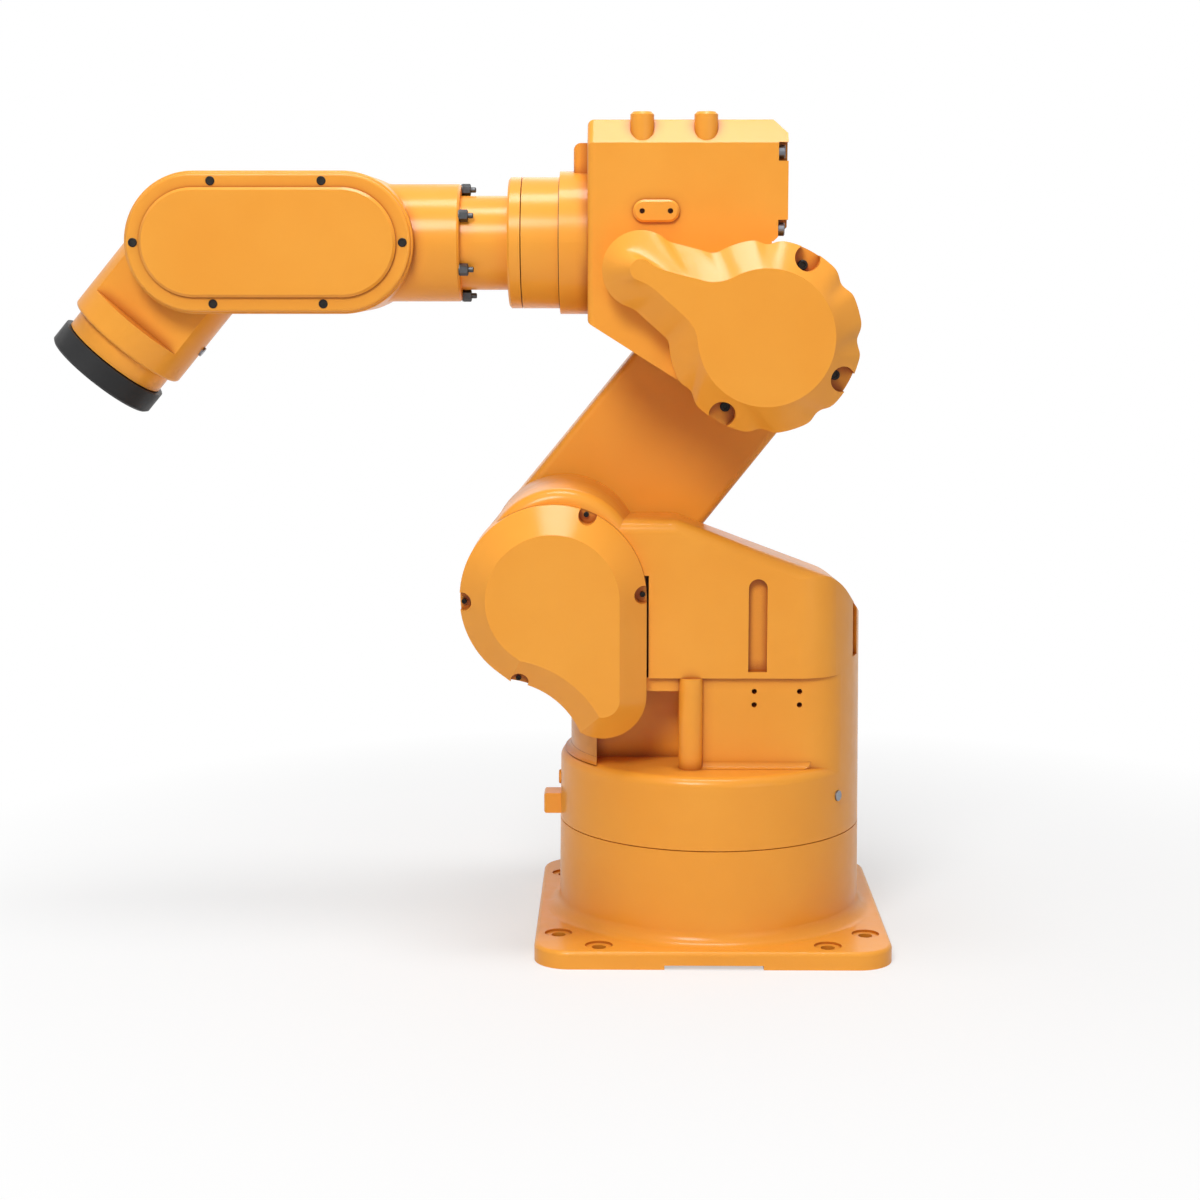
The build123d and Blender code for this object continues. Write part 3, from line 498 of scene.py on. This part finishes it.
def add_rear_screws():
    """Screws in the corner pockets of the elbow's rear cover."""
    seat_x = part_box("elbow_rear_cover")[0][0] + REAR_SCREW_IN
    seats = []
    for z in REAR_SCREW_HEIGHTS:
        for side in (1.0, -1.0):
            seats.append(((seat_x, side * REAR_SCREW_OUT, z), BACKWARD))
    head = cap_screw(radius=0.0062, height=0.0062, socket=0.0034)
    add_fasteners("rear_cover_screws", "elbow", SCREW_GREY, head, seats)


def add_arm_cap_screws(node, centre, circle):
    """Six screws on a round cap of the arm's far side."""
    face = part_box(node)[0][1]
    seats = round_seats(centre, circle, range(0, 360, CAP_SCREW_STEP), face)
    head = cap_screw(radius=0.0042, height=0.003, socket=0.0023)
    add_fasteners(node + "_screws", "upper_arm", SCREW_BLACK, head, seats)


def add_front_plug():
    """Painted plug at the drum's front."""
    seats = [(FRONT_PLUG_PLACE, FORWARD)]
    head = cap_screw(radius=0.007, height=0.0022, socket=0.003)
    add_fasteners("waist_front_plug", "waist", SMOOTH_PAINT, head, seats)


def add_roll_seam():
    """Black hoop painted as the shade in the joint where the fixed roll ring meets the elbow housing."""
    low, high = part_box("roll_fixed_ring")
    radius = (high[2] - low[2]) / 2
    mesh = bmesh.new()
    hoop(mesh, (low[0], 0.0, FOREARM_Z), radius - SEAM_WIDTH, radius + SEAM_PROUD, SEAM_WIDTH)
    add_piece("roll_ring_seam_shade", "elbow", BLACK, mesh)


def larger(tree, first, second):
    """The larger of two outputs."""
    node = tree.nodes.new("ShaderNodeMath")
    node.operation = "MAXIMUM"
    tree.links.new(first, node.inputs[0])
    tree.links.new(second, node.inputs[1])
    return node.outputs[0]


def shown_rays(tree):
    """1 on rays that show the background: from the camera, in gloss and through glass."""
    path = tree.nodes.new("ShaderNodeLightPath")
    others = larger(tree, path.outputs["Is Glossy Ray"], path.outputs["Is Transmission Ray"])
    return larger(tree, path.outputs["Is Camera Ray"], others)


def floor_finish():
    """Dull pale surface that glows white on rays that show the background, the more the farther out."""
    mat = bpy.data.materials.new("floor")
    tree = new_tree(mat)
    out = tree.nodes.new("ShaderNodeOutputMaterial")
    diffuse = tree.nodes.new("ShaderNodeBsdfDiffuse")
    diffuse.inputs["Color"].default_value = FLOOR_WHITE
    glow = tree.nodes.new("ShaderNodeEmission")
    glow.inputs["Color"].default_value = WHITE
    mix = tree.nodes.new("ShaderNodeMixShader")
    coords = tree.nodes.new("ShaderNodeNewGeometry")
    away = tree.nodes.new("ShaderNodeVectorMath")
    away.operation = "LENGTH"
    tree.links.new(coords.outputs["Position"], away.inputs[0])
    fade = spread(tree, away.outputs["Value"], FADE_DISTANCE, FADE_SHARE)
    seen = tree.nodes.new("ShaderNodeMath")
    seen.operation = "MULTIPLY"
    tree.links.new(fade, seen.inputs[0])
    tree.links.new(shown_rays(tree), seen.inputs[1])
    tree.links.new(seen.outputs[0], mix.inputs[0])
    tree.links.new(diffuse.outputs[0], mix.inputs[1])
    tree.links.new(glow.outputs[0], mix.inputs[2])
    tree.links.new(mix.outputs[0], out.inputs["Surface"])
    return mat


def add_floor():
    """Floor under the object."""
    bpy.ops.mesh.primitive_plane_add(size=FLOOR_SIDE, location=(0, 0, 0))
    floor = bpy.context.object
    floor.name = "floor"
    floor.data.materials.append(floor_finish())


def add_world():
    """White background that lights the object only a little."""
    world = bpy.data.worlds.new("studio")
    bpy.context.scene.world = world
    tree = new_tree(world)
    out = tree.nodes.new("ShaderNodeOutputWorld")
    back = tree.nodes.new("ShaderNodeBackground")
    back.inputs["Color"].default_value = WHITE
    strength = spread(tree, shown_rays(tree), UNIT, (WORLD_LIGHT, 1.0))
    tree.links.new(strength, back.inputs["Strength"])
    tree.links.new(back.outputs[0], out.inputs["Surface"])


def add_lamp(name, place, target, size, power):
    """Soft oval lamp that faces its target."""
    data = bpy.data.lights.new(name, "AREA")
    data.shape = "ELLIPSE"
    data.size, data.size_y = size
    data.energy = power
    lamp = bpy.data.objects.new(name, data)
    lamp.location = place
    lamp.rotation_euler = (Vector(target) - Vector(place)).to_track_quat("-Z", "Y").to_euler()
    bpy.context.scene.collection.objects.link(lamp)


def add_camera():
    """Camera at the photograph's place, looking at the arm's near side."""
    data = bpy.data.cameras.new("camera")
    data.sensor_width = SENSOR_WIDTH
    data.lens = FOCAL_LENGTH
    camera = bpy.data.objects.new("camera", data)
    camera.location = CAMERA_PLACE
    camera.rotation_euler = (math.radians(90.0 - CAMERA_TILT), 0.0, math.radians(180.0 + CAMERA_TURN))
    bpy.context.scene.collection.objects.link(camera)
    bpy.context.scene.camera = camera


paint_nodes()
add_cover_screws()
add_wrist_screws()
add_neck_nuts()
add_rear_screws()
add_arm_cap_screws("arm_shoulder_cap", SHOULDER, SHOULDER_CAP_CIRCLE)
add_arm_cap_screws("arm_elbow_cap", ELBOW, ELBOW_CAP_CIRCLE)
add_front_plug()
add_roll_seam()
add_floor()
add_world()
for lamp_values in LAMPS:
    add_lamp(*lamp_values)
add_camera()
bpy.context.scene.view_settings.view_transform = "Standard"
